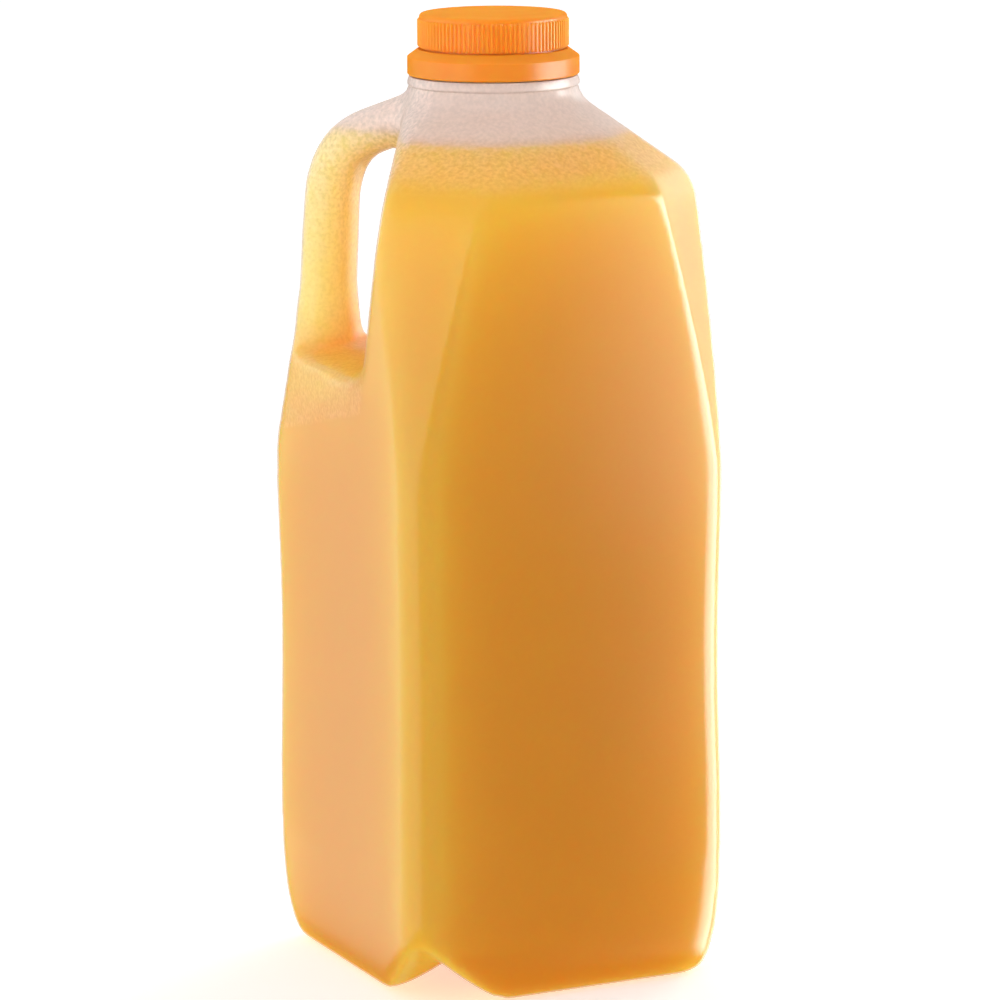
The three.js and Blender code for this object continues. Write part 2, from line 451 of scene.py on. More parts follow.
@dataclass(frozen=True)
class NaturalPolyethylene:
    """Blow moulded high density polyethylene with no pigment.

    To the eye it is a milky satin skin: it takes the colour of what touches it inside, and looks
    white where it is empty. The mould was blasted at the shoulder and the handle, which leaves a
    fine grain there and smooth panels below.
    """

    haze: str = "#F6E4DA"
    through: str = "#FDF4EC"
    roughness: float = 0.27
    ior: float = 1.5
    most_shine: float = 0.18
    wet_haze: float = 0.005
    dry_haze: float = 0.4
    grain_haze: Span = (0.14, 0.5)
    grain_haze_mm: Span = (195.0, 233.0)
    dry_grain_haze: float = 0.85
    dome_share: float = 0.5
    wet_glow: float = 0.42
    dry_glow: float = 0.55
    dry_mm: Span = (231.0, 236.0)
    grain_mm: float = 1.1
    grain_detail: float = 1.0
    speck: Span = (0.3, 0.7)
    grain_depth_mm: float = 0.16
    grain_strength: float = 0.8
    dome_mm: Span = (220.0, 228.0)
    grip_edge: tuple[float, float, float] = (-1.0, 0.0, 0.157)
    grip_edge_mm: float = 46.9
    grip_foot: tuple[float, float, float] = (-0.33, 0.0, 1.0)
    grip_foot_mm: float = 167.7
    grip_blend_mm: float = 1.5

    def material(self) -> bpy.types.Material:
        """Makes the wall's material.

        Returns:
            The material: partly clear, partly glowing through, with a satin shine on its outside.
        """
        material, tree = new_material("natural_polyethylene_blow_moulded")
        place = add_node(tree, "ShaderNodeTexCoord").outputs["Object"]
        height = add_node(tree, "ShaderNodeSeparateXYZ", inputs={0: place}).outputs["Z"]
        grained = self.grained(tree, place, height)
        grain = noise(tree, place, self.grain_mm, self.grain_detail)
        strength = reckon(tree, "MULTIPLY", grained, self.grain_strength)
        normal = bumped(tree, grain, strength, self.grain_depth_mm)
        dry = ramp(tree, height, metres(self.dry_mm), smooth=True)

        haze = add_node(tree, "ShaderNodeBsdfDiffuse", inputs={"Color": linear(self.haze)})
        glow = add_node(tree, "ShaderNodeBsdfTranslucent", inputs={"Color": linear(self.through)})
        clear = add_node(tree, "ShaderNodeBsdfTransparent")
        glow_share = blend(tree, dry, self.wet_glow, self.dry_glow)
        milky = blend_shaders(tree, glow_share, clear.outputs[0], glow.outputs[0])
        frost = reckon(tree, "MULTIPLY", grained, ramp(tree, grain, self.speck))
        frosted = ramp(tree, height, metres(self.grain_haze_mm), self.grain_haze)
        wet_share = blend(tree, frost, self.wet_haze, frosted)
        dry_share = blend(tree, frost, self.dry_haze, self.dry_grain_haze)
        haze_share = blend(tree, dry, wet_share, dry_share)
        body = blend_shaders(tree, haze_share, milky, haze.outputs[0])

        shine, gloss = satin(tree, normal, self.roughness, self.ior, self.most_shine)
        inner = add_node(tree, "ShaderNodeNewGeometry").outputs["Backfacing"]
        share = reckon(tree, "MULTIPLY", shine, reckon(tree, "SUBTRACT", 1.0, inner))
        wall = blend_shaders(tree, share, body, gloss)
        add_node(tree, "ShaderNodeOutputMaterial", inputs={"Surface": wall})
        return material

    def grained(self, tree: Tree, place: Socket, height: Socket) -> Socket:
        """Marks where the mould was blasted: the dome round the neck, the handle and its recess.

        Args:
            tree: the material's tree.
            place: where on the bottle, in metres.
            height: its Z.

        Returns:
            1 on the grain, 0 on the smooth panels.
        """
        dome = ramp(tree, height, metres(self.dome_mm), (0.0, self.dome_share), smooth=True)
        inside = []
        for way, edge_mm in (
            (self.grip_edge, self.grip_edge_mm),
            (self.grip_foot, self.grip_foot_mm),
        ):
            along = add_node(
                tree, "ShaderNodeVectorMath", {"operation": "DOT_PRODUCT"}, {0: place, 1: way}
            )
            span = metres((edge_mm, edge_mm + self.grip_blend_mm))
            inside.append(ramp(tree, along.outputs["Value"], span, smooth=True))
        return reckon(tree, "MAXIMUM", dome, reckon(tree, "MULTIPLY", *inside))


@dataclass(frozen=True)
class OrangeJuice:
    """Cloudy juice with fine pulp.

    Light goes some way in before it comes out again. This is painted into the colour: edges and
    the thin handle are painted a glowing yellow and the deep middle a shaded, browner orange,
    partly the juice's own colour by depth and partly painted light. The top is painted lighter as
    well, as painted light from above. The pulp shows as faint clouds.
    """

    # Colours of the painted glow, partly the juice's own colour by depth: where much light gets
    # through, where little does, and in the slimmest parts.
    thin: str = "#FFC438"
    deep: str = "#EC9E20"
    slim: str = "#FFE482"
    full_glow: float = 0.13
    # Painted light from above: how much lighter the juice is painted at the top, and over which
    # heights.
    painted_light_top: float = 0.12
    painted_light_mm: Span = (110.0, 230.0)
    roughness: float = 0.6
    ior: float = 1.0
    deep_reach_mm: tuple[float, float, float] = (30.0, 10.0, 2.5)
    thin_reach_mm: tuple[float, float, float] = (30.0, 26.0, 6.0)
    slim_glow: Span = (0.2, 0.34)
    cloud_mm: float = 30.0
    cloud_share: float = 0.12
    cloud_detail: float = 3.0

    def material(self) -> bpy.types.Material:
        """Makes the juice's material.

        Returns:
            A material that light enters and leaves again, coloured by how much gets through.
        """
        material, tree = new_material("orange_juice_cloudy")
        place = add_node(tree, "ShaderNodeTexCoord").outputs["Object"]
        height = add_node(tree, "ShaderNodeSeparateXYZ", inputs={0: place}).outputs["Z"]
        cloud = noise(tree, place, self.cloud_mm, self.cloud_detail)
        drift = ramp(tree, cloud, (0.0, 1.0), (-self.cloud_share, self.cloud_share))
        # Painted light: the juice is painted lighter towards the top, where more light falls in
        # through the shoulders.
        painted_top_light = ramp(tree, height, metres(self.painted_light_mm), (0.0, self.painted_light_top), smooth=True)
        start = reckon(tree, "ADD", drift, painted_top_light)
        # Painted glow: the baked light measure paints edges, corners and the handle a glowing
        # yellow and the middle a shaded, browner orange; partly the juice's own colour by depth,
        # partly painted light.
        glow = add_node(tree, "ShaderNodeAttribute", {"attribute_name": GLOW}).outputs["Fac"]
        share = add_node(
            tree,
            "ShaderNodeMath",
            {"operation": "MULTIPLY_ADD", "use_clamp": True},
            {0: glow, 1: 1 / self.full_glow, 2: start},
        )
        slim = ramp(tree, glow, self.slim_glow)
        reach = blend(tree, slim, self.deep_reach_mm, self.thin_reach_mm, "VECTOR")
        colour = blend(tree, share.outputs[0], linear(self.deep), linear(self.thin), "RGBA")
        body = add_node(
            tree,
            "ShaderNodeBsdfPrincipled",
            inputs={
                "Base Color": blend(tree, slim, colour, linear(self.slim), "RGBA"),
                "Roughness": self.roughness,
                "IOR": self.ior,
                "Subsurface Weight": 1.0,
                "Subsurface Radius": reach,
                "Subsurface Scale": MM,
            },
        )
        add_node(tree, "ShaderNodeOutputMaterial", inputs={"Surface": body.outputs[0]})
        return material


@dataclass(frozen=True)
class CapPolypropylene:
    """Injection moulded polypropylene, coloured right through.

    To the eye it is a warm orange with a faint sheen that glows a little at thin edges. The
    pigment drifts a little where the melt flowed, and the mould's fine grain breaks up the sheen.
    """

    colour: str = "#FF922A"
    drifted: str = "#FC841C"
    drift_mm: float = 7.0
    drift_detail: float = 2.0
    roughness: float = 0.33
    ior: float = 1.49
    most_shine: float = 0.03
    depth_mm: float = 6.0
    depth_share: float = 0.6
    reach: tuple[float, float, float] = (1.0, 0.4, 0.15)
    grain_mm: float = 0.5
    grain_detail: float = 1.0
    grain_depth_mm: float = 0.03
    grain_strength: float = 0.5

    def material(self) -> bpy.types.Material:
        """Makes the cap's material.

        Returns:
            A satin orange material.
        """
        material, tree = new_material("polypropylene_orange_moulded")
        place = add_node(tree, "ShaderNodeTexCoord").outputs["Object"]
        drift = noise(tree, place, self.drift_mm, self.drift_detail)
        colour = blend(tree, drift, linear(self.colour), linear(self.drifted), "RGBA")
        grain = noise(tree, place, self.grain_mm, self.grain_detail)
        normal = bumped(tree, grain, self.grain_strength, self.grain_depth_mm)
        body = add_node(
            tree,
            "ShaderNodeBsdfPrincipled",
            inputs={
                "Base Color": colour,
                "IOR": 1.0,
                "Subsurface Weight": self.depth_share,
                "Subsurface Radius": self.reach,
                "Subsurface Scale": self.depth_mm * MM,
                "Normal": normal,
            },
        )
        share, gloss = satin(tree, normal, self.roughness, self.ior, self.most_shine)
        moulded = blend_shaders(tree, share, body.outputs[0], gloss)
        add_node(tree, "ShaderNodeOutputMaterial", inputs={"Surface": moulded})
        return material


@dataclass
class Jug:
    """The blow moulded bottle with its handle, and the juice that fills it. Millimetres."""

    side: float = 97.0
    corner_radius: float = 8.0
    min_half_flat: float = 0.4
    wall: float = 0.8

    foot_inset: float = 5.4
    foot_height: float = 31.0
    foot_steps: int = 10
    channel_half_width: float = 14.0
    channel_height: float = 9.0
    channel_power: float = 1.15
    channel_plain_y: float = 32.0
    channel_end_y: float = 72.0
    channel_end_half_width: float = 44.0
    channel_end_height: float = 26.0
    channel_below: float = 1.0
    channel_steps: int = 8

    waist_low: float = 45.0
    waist_high: float = 140.0
    waist_inset: float = 0.6

    facet_start: float = 138.0
    facet_cut: float = 11.5
    facet_span: float = 78.0
    facet_power: float = 1.35
    facet_radius: float = 2.5
    facet_end: float = 9.0
    handle_facet_start: float = 143.0
    handle_facet_slope: float = 0.3

    shoulder_z: float = 221.5
    shoulder_fillet: float = 5.0
    neck_z: float = 243.0
    neck_fillet: float = 2.2
    neck_radius: float = 23.0
    neck_cut: float = 245.4
    block_top: float = 252.0
    bead_radius: float = 23.5
    bead_low: float = 245.8
    bead_full: float = 246.3
    bead_high: float = 247.2
    neck_top: float = 248.5
    finish_radius: float = 18.2
    mouth_z: float = 262.8

    handle_half_depth: float = 6.5
    handle_half_width: float = 11.0
    root_widening: float = 1.5
    root_deepening: float = 4.0
    flare_high: float = 194.0
    flare_low: float = 170.0
    arm_start: Span = (-17.0, 238.9)
    bend_start: Span = (-35.5, 232.0)
    bend_corner: Span = (-47.0, 228.0)
    bend_end: Span = (-47.8, 211.0)
    grip_end: Span = (-49.2, 190.0)
    root_end: Span = (-55.0, 146.0)

    gap_side_y: float = 60.0
    gap_fillet: float = 9.0
    gap_outer_x: float = -80.0
    gap_top_z: float = 260.0
    gap_middle: tuple[float, float, float] = (-24.0, -26.8, 173.0)
    gap_side: tuple[float, float, float] = (-5.8, -20.2, 167.0)

    fill_z: float = 233.0
    film_depth: float = 0.4

    glow_start: float = 3.0
    glow_fade: float = 14.0
    glow_limit: float = 60.0
    glow_rays: int = 24
    dark_slope: float = 0.7

    arc_steps: int = 6
    side_step: float = 6.0
    curve_steps: int = 8
    section_steps: int = 12
    voxel: float = 1.7
    even_repeats: int = 2
    blend_repeats: int = 7
    handle_zone: Span = (-4.0, 3.0)
    handle_zone_z: Span = (135.0, 145.0)
    zone_lean: float = 0.2
    zone_blend: float = 5.0

    def outline(self, z: float) -> list[Vector]:
        """Outline of the upright sides: a square with cut and rounded corners.

        Args:
            z: height above the floor.

        Returns:
            Points anticlockwise from the +X corner.
        """
        foot_share = max(0.0, (self.foot_height - z) / self.foot_height)
        foot = self.foot_inset * (1 - math.sqrt(1 - foot_share**2))
        span = self.waist_high - self.waist_low
        waist_share = min(max((z - self.waist_low) / span, 0.0), 1.0)
        waist = self.waist_inset * math.sin(math.pi * waist_share) ** 2
        panel = self.side / 2 - foot - waist
        crisp = smooth_step(self.facet_start, self.facet_start + self.facet_span, z)
        crisp *= 1 - smooth_step(self.shoulder_z - self.facet_end, self.shoulder_z, z)
        radius = self.corner_radius + (self.facet_radius - self.corner_radius) * crisp
        widening = (math.sqrt(2) - 1) * (self.corner_radius - radius)
        reach = math.sqrt(2) * (panel - radius)
        rise = max(0.0, (z - self.facet_start) / self.facet_span)
        cut = self.facet_cut * rise**self.facet_power
        handle_cut = self.handle_facet_slope * max(0.0, z - self.handle_facet_start)
        points = []
        for corner in range(4):
            deepest = handle_cut if corner == 2 else cut
            half_flat = max(deepest + widening, self.min_half_flat)
            depth = reach - half_flat
            for side in (-1, 1):
                for step in range(self.arc_steps + 1):
                    share = step - self.arc_steps if side < 0 else step
                    angle = share / self.arc_steps * QUARTER / 2
                    x = depth + radius * math.cos(angle)
                    y = side * half_flat + radius * math.sin(angle)
                    points.append(Matrix.Rotation(corner * QUARTER, 2) @ Vector((x, y)))
        return points

    def circle(self, radius: float) -> list[Vector]:
        """Circle with the points of an outline, in the same order."""
        count = 8 * (self.arc_steps + 1)
        turns = [((i + 0.5) / count - 1 / 8) * 4 * QUARTER for i in range(count)]
        return [Vector((radius * math.cos(a), radius * math.sin(a))) for a in turns]

    def body_rings(self) -> list[Ring]:
        """Rings of the body from the floor to above the neck.

        Returns:
            Outlines in millimetres.
        """
        heights = [
            self.foot_height * (1 - math.cos(step / self.foot_steps * QUARTER))
            for step in range(self.foot_steps + 1)
        ]
        top = self.shoulder_z - self.shoulder_fillet
        count = round((top - self.foot_height) / self.side_step)
        heights += [
            self.foot_height + (top - self.foot_height) * (step + 1) / count
            for step in range(count)
        ]
        rings = [[Vector((*point, z)) for point in self.outline(z)] for z in heights]
        run = self.side / 2 - self.neck_radius
        circle = self.circle(self.neck_radius)
        for x, z in self.shoulder_profile(run):
            edge = self.outline(min(z, self.shoulder_z))
            share = x / run
            rings.append(
                [Vector((*p.lerp(circle[i], share), z)) for i, p in enumerate(edge)]
            )
        rings.append([Vector((*point, self.block_top)) for point in circle])
        return rings

    def shoulder_profile(self, run: float) -> list[Span]:
        """Line from the sides over the shoulder to the neck, with a fillet at each end.

        Args:
            run: how far in it goes.

        Returns:
            Way in and height of each point after the first.
        """
        rise = self.neck_z - self.shoulder_z
        slope = Vector((run, rise)).normalized()
        low = Vector((0, self.shoulder_z))
        high = Vector((run, self.neck_z))
        fillet, tight = self.shoulder_fillet, self.neck_fillet
        first = quadratic(
            low - Vector((0, fillet)), low, low + slope * fillet, self.curve_steps
        )
        second = quadratic(
            high - slope * tight, high, high + Vector((0, tight)), self.curve_steps
        )
        return [(p.x, p.y) for p in first[1:] + second]

    def handle_line(self) -> list[Vector]:
        """Middle line of the handle from inside the neck to inside the corner.

        Returns:
            Points (x, z) along it.
        """
        bend = quadratic(
            Vector(self.bend_start),
            Vector(self.bend_corner),
            Vector(self.bend_end),
            2 * self.curve_steps,
        )
        root = [
            Vector(self.grip_end).lerp(Vector(self.root_end), step / self.curve_steps)
            for step in range(self.curve_steps + 1)
        ]
        return [Vector(self.arm_start), *bend, *root]

    def handle_rings(self) -> list[Ring]:
        """Flat oval rings along the handle, deeper and wider towards its root.

        Returns:
            Outlines in millimetres.
        """
        line = self.handle_line()
        rings = []
        for i, middle in enumerate(line):
            along = (line[min(i + 1, len(line) - 1)] - line[max(i - 1, 0)]).normalized()
            flare = 1 - smooth_step(self.flare_low, self.flare_high, middle.y)
            half_depth = self.handle_half_depth + self.root_deepening / 2 * flare
            centre = Vector((middle.x + self.root_deepening / 2 * flare, middle.y))
            half_width = self.handle_half_width + self.root_widening * flare
            room = math.sqrt(2) * (self.side / 2 - half_depth) + centre.x
            straight = min(half_width - half_depth, room)
            ring = []
            for side in (-1, 1):
                for turn in range(self.section_steps + 1):
                    angle = side * QUARTER + (turn / self.section_steps - 0.5) * 2 * QUARTER
                    across = half_depth * math.cos(angle)
                    y = side * straight + half_depth * math.sin(angle)
                    ring.append(
                        Vector((centre.x + along.y * across, y, centre.y - along.x * across))
                    )
            rings.append(ring)
        return rings

    def gap_rings(self) -> list[Ring]:
        """Rings of what is cut out behind the handle, wider at the sides than in the middle.

        Returns:
            Outlines in millimetres.
        """
        rings = []
        for gap, y in (
            (self.gap_side, -self.gap_side_y),
            (self.gap_middle, 0.0),
            (self.gap_side, self.gap_side_y),
        ):
            wall_top, wall_foot, floor = gap
            lean = (wall_top - wall_foot) / (self.gap_top_z - floor)
            fillet = self.gap_fillet
            curve = quadratic(
                Vector((wall_foot + lean * fillet, floor + fillet)),
                Vector((wall_foot, floor)),
                Vector((wall_foot - fillet, floor)),
                self.curve_steps,
            )
            outline = [
                Vector((wall_top, self.gap_top_z)),
                *curve,
                Vector((self.gap_outer_x, floor)),
                Vector((self.gap_outer_x, self.gap_top_z)),
            ]
            rings.append([Vector((p.x, y, p.y)) for p in outline])
        return rings

    def channel_rings(self) -> list[Ring]:
        """Rings of the channel under the base, which opens out at both ends.

        Returns:
            Outlines in millimetres.
        """
        steps = self.channel_steps
        span = self.channel_end_y - self.channel_plain_y
        flared = [self.channel_plain_y + span * i / steps for i in range(steps + 1)]
        rings = []
        for y in [-y for y in reversed(flared)] + flared:
            flare = ((abs(y) - self.channel_plain_y) / span) ** 2
            half = self.channel_half_width
            half += (self.channel_end_half_width - half) * flare
            height = self.channel_height
            height += (self.channel_end_height - height) * flare
            ring = [Vector((-half, y, -self.channel_below))]
            for step in range(-steps, steps + 1):
                across = step / steps
                z = height * (1 - abs(across)) ** self.channel_power
                ring.append(Vector((half * across, y, z)))
            ring.append(Vector((half, y, -self.channel_below)))
            rings.append(ring)
        return rings

    def block(self) -> Piece:
        """Makes the bottle's outside as one blended solid.

        Returns:
            A closed solid that reaches past the neck.
        """
        block = drawn_out("bottle", self.body_rings())
        combine(block, drawn_out("gap", self.gap_rings()), Joining.DIFFERENCE)
        combine(block, drawn_out("handle", self.handle_rings()), Joining.UNION)
        combine(block, drawn_out("channel", self.channel_rings()), Joining.DIFFERENCE)
        apply_modifier(block, "REMESH", mode="VOXEL", voxel_size=self.voxel * MM)
        with editing(block):
            bpy.ops.mesh.select_all(action="SELECT")
            bpy.ops.mesh.vertices_smooth(factor=HALF_WAY, repeat=self.even_repeats)
            select_points(block, lambda point: self.plainness(point) < 1)
            bpy.ops.mesh.vertices_smooth(factor=HALF_WAY, repeat=self.blend_repeats)
        return block

    def plainness(self, point: Vector) -> float:
        """Tells how far a point is from all that is blended into the plain body.

        Args:
            point: a place on the bottle, in metres.

        Returns:
            0 at the handle, its recess, the neck and the base, 1 on the plain sides.
        """
        x, _, z = point / MM
        low, high = self.handle_zone
        at_handle = 1 - smooth_step(low, high, x + self.zone_lean * (self.shoulder_z - z))
        at_handle *= smooth_step(*self.handle_zone_z, z)
        at_base = 1 - smooth_step(self.foot_height, self.foot_height + self.zone_blend, z)
        at_neck = smooth_step(self.neck_z - self.zone_blend, self.neck_z, z)
        return 1 - max(at_handle, at_base, at_neck)

    def crispen(self, piece: Piece) -> None:
        """Gives the plain sides the shading of the drawn body, with its crisp cut corners.

        Args:
            piece: the finished bottle or juice.
        """
        body = drawn_out("body", self.body_rings())
        smooth_shade(body)
        group = piece.vertex_groups.new(name="plain_sides")
        for vert in piece.data.vertices:
            group.add([vert.index], self.plainness(vert.co), "REPLACE")
        apply_modifier(
            piece,
            "DATA_TRANSFER",
            object=body,
            use_loop_data=True,
            data_types_loops={"CUSTOM_NORMAL"},
            loop_mapping="POLYINTERP_NEAREST",
            use_max_distance=True,
            max_distance=(self.wall + self.film_depth) / 2 * MM,
            vertex_group=group.name,
        )
        piece.vertex_groups.clear()
        bpy.data.objects.remove(body)

    def shell(self, block: Piece) -> Piece:
        """Opens the block at the neck, draws up the neck and gives the skin its wall.

        Args:
            block: the outside, which is used up.

        Returns:
            The bottle.
        """
        neck = [
            (self.neck_radius, self.bead_low),
            (self.bead_radius, self.bead_full),
            (self.bead_radius, self.bead_high),
            (self.neck_radius, self.neck_top),
            (self.finish_radius, self.neck_top),
            (self.finish_radius, self.mouth_z),
        ]
        with editing(block):
            bpy.ops.mesh.select_all(action="SELECT")
            bpy.ops.mesh.bisect(
                plane_co=(0, 0, self.neck_cut * MM),
                plane_no=(0, 0, 1),
                clear_outer=True,
            )
            bpy.ops.mesh.select_mode(type="EDGE")
            for radius, z in neck:
                bpy.ops.mesh.extrude_edges_move()
                round_ring(block, radius, z)
        apply_modifier(
            block, "SOLIDIFY", thickness=self.wall * MM, offset=-1.0, use_even_offset=True
        )
        smooth_shade(block)
        self.crispen(block)
        return block

    def juice(self, block: Piece) -> Piece:
        """Makes the juice from the outside: just into the wall, up to the level.

        Args:
            block: the outside, which stays as it is.

        Returns:
            The juice.
        """
        juice = block.copy()
        juice.data = block.data.copy()
        juice.name = juice.data.name = "juice"
        bpy.context.scene.collection.objects.link(juice)
        with editing(juice):
            bpy.ops.mesh.select_all(action="SELECT")
            bpy.ops.transform.shrink_fatten(value=-self.film_depth * MM)
            bpy.ops.mesh.bisect(
                plane_co=(0, 0, self.fill_z * MM),
                plane_no=(0, 0, 1),
                clear_outer=True,
                use_fill=True,
            )
        smooth_shade(juice)
        self.crispen(juice)
        self.mark_glow(juice)
        return juice

    def mark_glow(self, juice: Piece) -> None:
        """Writes on each point how much light gets to it through the juice, for the painted glow
        of the juice's colour.

        Light fades along each way in, and none comes up out of the floor.

        Args:
            juice: the finished juice.
        """
        mesh = juice.data
        skin = BVHTree.FromPolygons(
            [vert.co for vert in mesh.vertices], [face.vertices for face in mesh.polygons]
        )
        ways = inward_ways(self.glow_rays)
        fade = self.glow_fade * MM
        reach = self.glow_limit * MM
        shares = []
        for vert in mesh.vertices:
            turn = (-vert.normal).to_track_quat("Z", "Y")
            start = vert.co - vert.normal * self.glow_start * MM
            total = 0.0
            for way in ways:
                _, normal, _, length = skin.ray_cast(start, turn @ way, reach)
                if normal is not None and normal.z > -self.dark_slope:
                    total += math.exp(-length / fade)
            shares.append(total / len(ways))
        layer = mesh.attributes.new(GLOW, "FLOAT", "POINT")
        layer.data.foreach_set("value", shares)


def quadratic(start: Vector, corner: Vector, end: Vector, steps: int) -> list[Vector]:
    """Points of a curve that leaves start for the corner and comes into end from it.

    Args:
        start: first point.
        corner: where the two end tangents meet.
        end: last point.
        steps: how many pieces.

    Returns:
        The points with both ends.
    """
    shares = [step / steps for step in range(steps + 1)]
    return [start.lerp(corner, s).lerp(corner.lerp(end, s), s) for s in shares]


def select_points(obj: Piece, wanted: Callable[[Vector], bool]) -> None:
    """Selects the points of a mesh in edit mode by where they are.

    Args:
        obj: the object in edit mode.
        wanted: tells from a point's place in metres whether to take it.
    """
    bpy.ops.mesh.select_all(action="DESELECT")
    mesh = bmesh.from_edit_mesh(obj.data)
    for vert in mesh.verts:
        vert.select_set(wanted(vert.co))
    bmesh.update_edit_mesh(obj.data)


def inward_ways(count: int) -> list[Vector]:
    """Spreads directions evenly over a half sphere about +Z.

    Args:
        count: how many directions.

    Returns:
        Unit vectors on a spiral.
    """
    golden = math.pi * (3 - math.sqrt(5))
    ways = []
    for i in range(count):
        rise = 1 - (i + 0.5) / count
        out = math.sqrt(1 - rise * rise)
        ways.append(Vector((out * math.cos(i * golden), out * math.sin(i * golden), rise)))
    return ways


def round_ring(obj: Piece, radius: float, z: float) -> None:
    """Brings the selected ring to a true circle about the axis.

    Args:
        obj: the object in edit mode.
        radius: the circle's radius in millimetres.
        z: its height in millimetres.
    """
    mesh = bmesh.from_edit_mesh(obj.data)
    for vert in mesh.verts:
        if vert.select:
            spoke = Vector((vert.co.x, vert.co.y)).normalized() * radius
            vert.co = Vector((*spoke, z)) * MM
    bmesh.update_edit_mesh(obj.data)


def smooth_shade(obj: Piece, angle_deg: float = 40.0) -> None:
    """Shades a piece smooth except over sharp edges.

    Args:
        obj: the piece.
        angle_deg: edges sharper than this stay sharp.
    """
    select_only(obj)
    bpy.ops.object.shade_smooth_by_angle(angle=math.radians(angle_deg))


@dataclass
class ScrewCap:
    """The screw cap and its tamper band, moulded in one piece. Millimetres."""

    top: float = 265.5
    edge: float = 1.3
    skirt_radius: float = 20.2
    skirt_low: float = 256.3
    wall: float = 1.2
    roof: float = 1.6
    ribs: int = 100
    rib_height: float = 0.5
    rib_run_in: float = 0.5
    groove: float = 0.5
    flange_high: float = 255.8
    band_radius: float = 23.5
    band_high: float = 254.0
    band_low: float = 248.9
    band_wall: float = 1.6
    rounding: float = 0.3
    points_per_rib: int = 4
    edge_steps: int = 5
    crease_deg: float = 32.0

    def profile(self) -> list[Span]:
        """Turned profile from under the roof, round the skirt, to the top.

        Returns:
            Radius and height of each ring.
        """
        inner = self.skirt_radius - self.wall
        band_inner = self.band_radius - self.band_wall
        soft = self.rounding
        shoulder = self.top - self.edge
        edge = quadratic(
            Vector((self.skirt_radius, shoulder)),
            Vector((self.skirt_radius, self.top)),
            Vector((self.skirt_radius - self.edge, self.top)),
            self.edge_steps,
        )
        return [
            (inner, self.top - self.roof),
            (inner, self.skirt_low),
            (band_inner, self.band_high),
            (band_inner, self.band_low),
            (self.band_radius - soft, self.band_low),
            (self.band_radius, self.band_low + soft),
            (self.band_radius, self.band_high - soft),
            (self.band_radius - soft, self.band_high),
            (self.skirt_radius + self.rib_height, self.flange_high),
            (self.skirt_radius - self.groove, self.flange_high),
            (self.skirt_radius - self.groove, self.skirt_low),
            (self.skirt_radius, self.skirt_low),
            (self.skirt_radius, self.skirt_low + self.rib_run_in),
            (self.skirt_radius, shoulder - self.rib_run_in),
            *[(p.x, p.y) for p in edge],
        ]

    def build(self) -> Piece:
        """Turns the cap and raises its grip ribs.

        Returns:
            The cap.
        """
        cap = turned("cap", self.profile(), self.ribs * self.points_per_rib)
        first, last = self.profile()[0], self.profile()[-1]
        with editing(cap):
            self.raise_ribs(cap)
            for _, z in (first, last):
                self.close(cap, z)
            bpy.ops.mesh.select_all(action="SELECT")
            bpy.ops.mesh.normals_make_consistent(inside=False)
        cap.data.attributes.remove(cap.data.attributes[PLACE])
        smooth_shade(cap, self.crease_deg)
        return cap

    def raise_ribs(self, cap: Piece) -> None:
        """Pushes out two of every four points round the skirt, and leaves its ends plain."""
        mesh = bmesh.from_edit_mesh(cap.data)
        place = mesh.verts.layers.int[PLACE]
        low = self.skirt_low + self.rib_run_in / 2
        high = self.top - self.edge - self.rib_run_in / 2
        for vert in mesh.verts:
            out = vert[place] % self.points_per_rib < self.points_per_rib / 2
            on_skirt = Vector(vert.co.xy).length > (self.skirt_radius - self.groove / 2) * MM
            if out and on_skirt and low * MM < vert.co.z < high * MM:
                vert.co.xy *= 1 + self.rib_height / self.skirt_radius
        bmesh.update_edit_mesh(cap.data)

    def close(self, cap: Piece, z: float) -> None:
        """Fills the open ring at a height with a disc."""
        bpy.ops.mesh.select_all(action="DESELECT")
        mesh = bmesh.from_edit_mesh(cap.data)
        for edge in mesh.edges:
            if edge.is_boundary and abs(edge.verts[0].co.z - z * MM) < TOUCH * MM:
                edge.select_set(True)
        bmesh.update_edit_mesh(cap.data)
        bpy.ops.mesh.edge_face_add()


@dataclass(frozen=True)
class Softbox:
    """One soft studio light that looks at the bottle's axis, level or tilted down.

    Degrees and metres. A narrow spread keeps its light on the height it looks at.
    """

    name: str
    role: Role
    azimuth_deg: float
    distance: float
    z: float
    width: float
    height: float
    radiance: float
    tilt_deg: float = 0.0
    spread_deg: float = 180.0

    def build(self) -> None:
        """Hangs the light, with the power that gives its face its radiance."""
        data = bpy.data.lights.new(self.name, "AREA")
        data.shape = "RECTANGLE"
        data.size = self.width
        data.size_y = self.height
        data.spread = math.radians(self.spread_deg)
        data.energy = self.radiance * math.pi * self.width * self.height
        light = bpy.data.objects.new(self.name, data)
        azimuth = math.radians(self.azimuth_deg)
        side = Vector((math.cos(azimuth), math.sin(azimuth), 0))
        light.location = side * self.distance + Vector((0, 0, self.z))
        tilt = math.radians(self.tilt_deg)
        way = -side * math.cos(tilt) - Vector((0, 0, math.sin(tilt)))
        light.rotation_euler = way.to_track_quat("-Z", "Y").to_euler()
        light.visible_camera = False
        light.visible_diffuse = self.role is Role.FILL
        light.visible_glossy = self.role is Role.SHINE
        bpy.context.scene.collection.objects.link(light)


